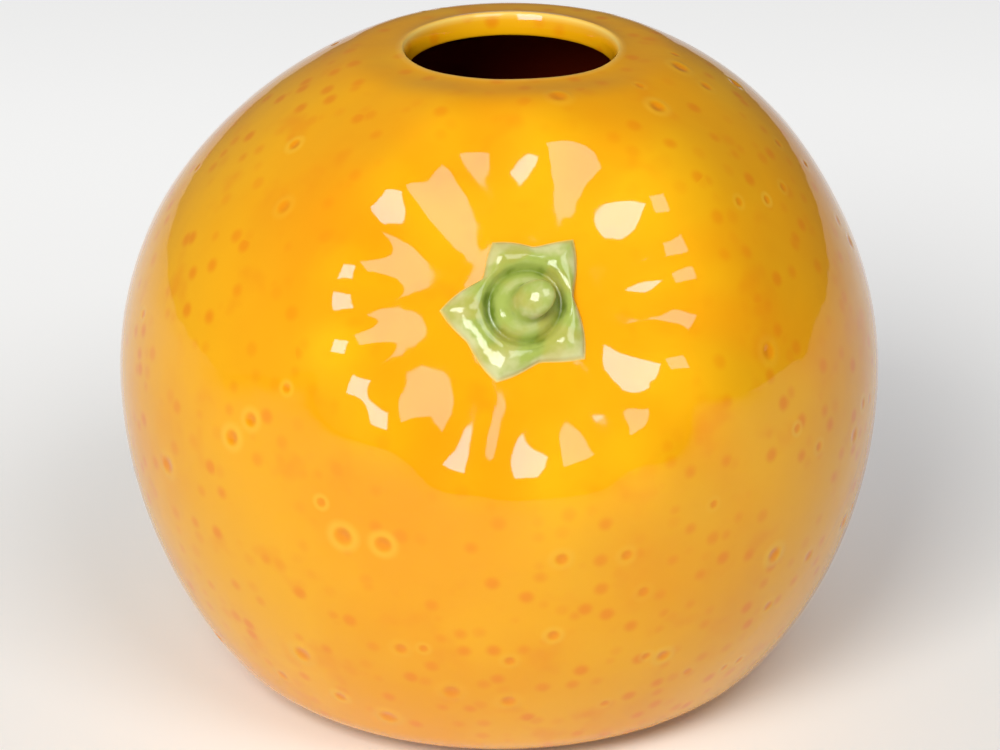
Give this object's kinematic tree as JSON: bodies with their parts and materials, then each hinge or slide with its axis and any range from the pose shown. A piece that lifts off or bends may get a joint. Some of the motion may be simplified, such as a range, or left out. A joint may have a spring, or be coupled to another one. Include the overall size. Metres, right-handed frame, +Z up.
{
  "type": "orange-shaped ceramic flower vase",
  "caption": "Hollow glazed ceramic vase in the shape of an orange, with a round mouth on top, a moulded green calyx with a stem stub on the front and a flat foot.",
  "frame": {"origin": "middle of the flat foot, on the surface that the vase stands on", "axes": "+Z up through the body; the moulded calyx faces -Y; +X is to the right of someone who looks at the calyx"},
  "size_m": [0.1296, 0.1318, 0.1114],
  "materials": {
    "orange_glaze": "thick clear gloss over yellow-orange, deeper orange in the pits and paler on the edges",
    "green_glaze": "translucent gloss, pale cream-green on the edges and leaf green in the groove",
    "bare_foot": "unglazed matt off-white clay"
  },
  "bodies": {
    "root": {"vase": "orange_glaze"}
  },
  "joints": []
}
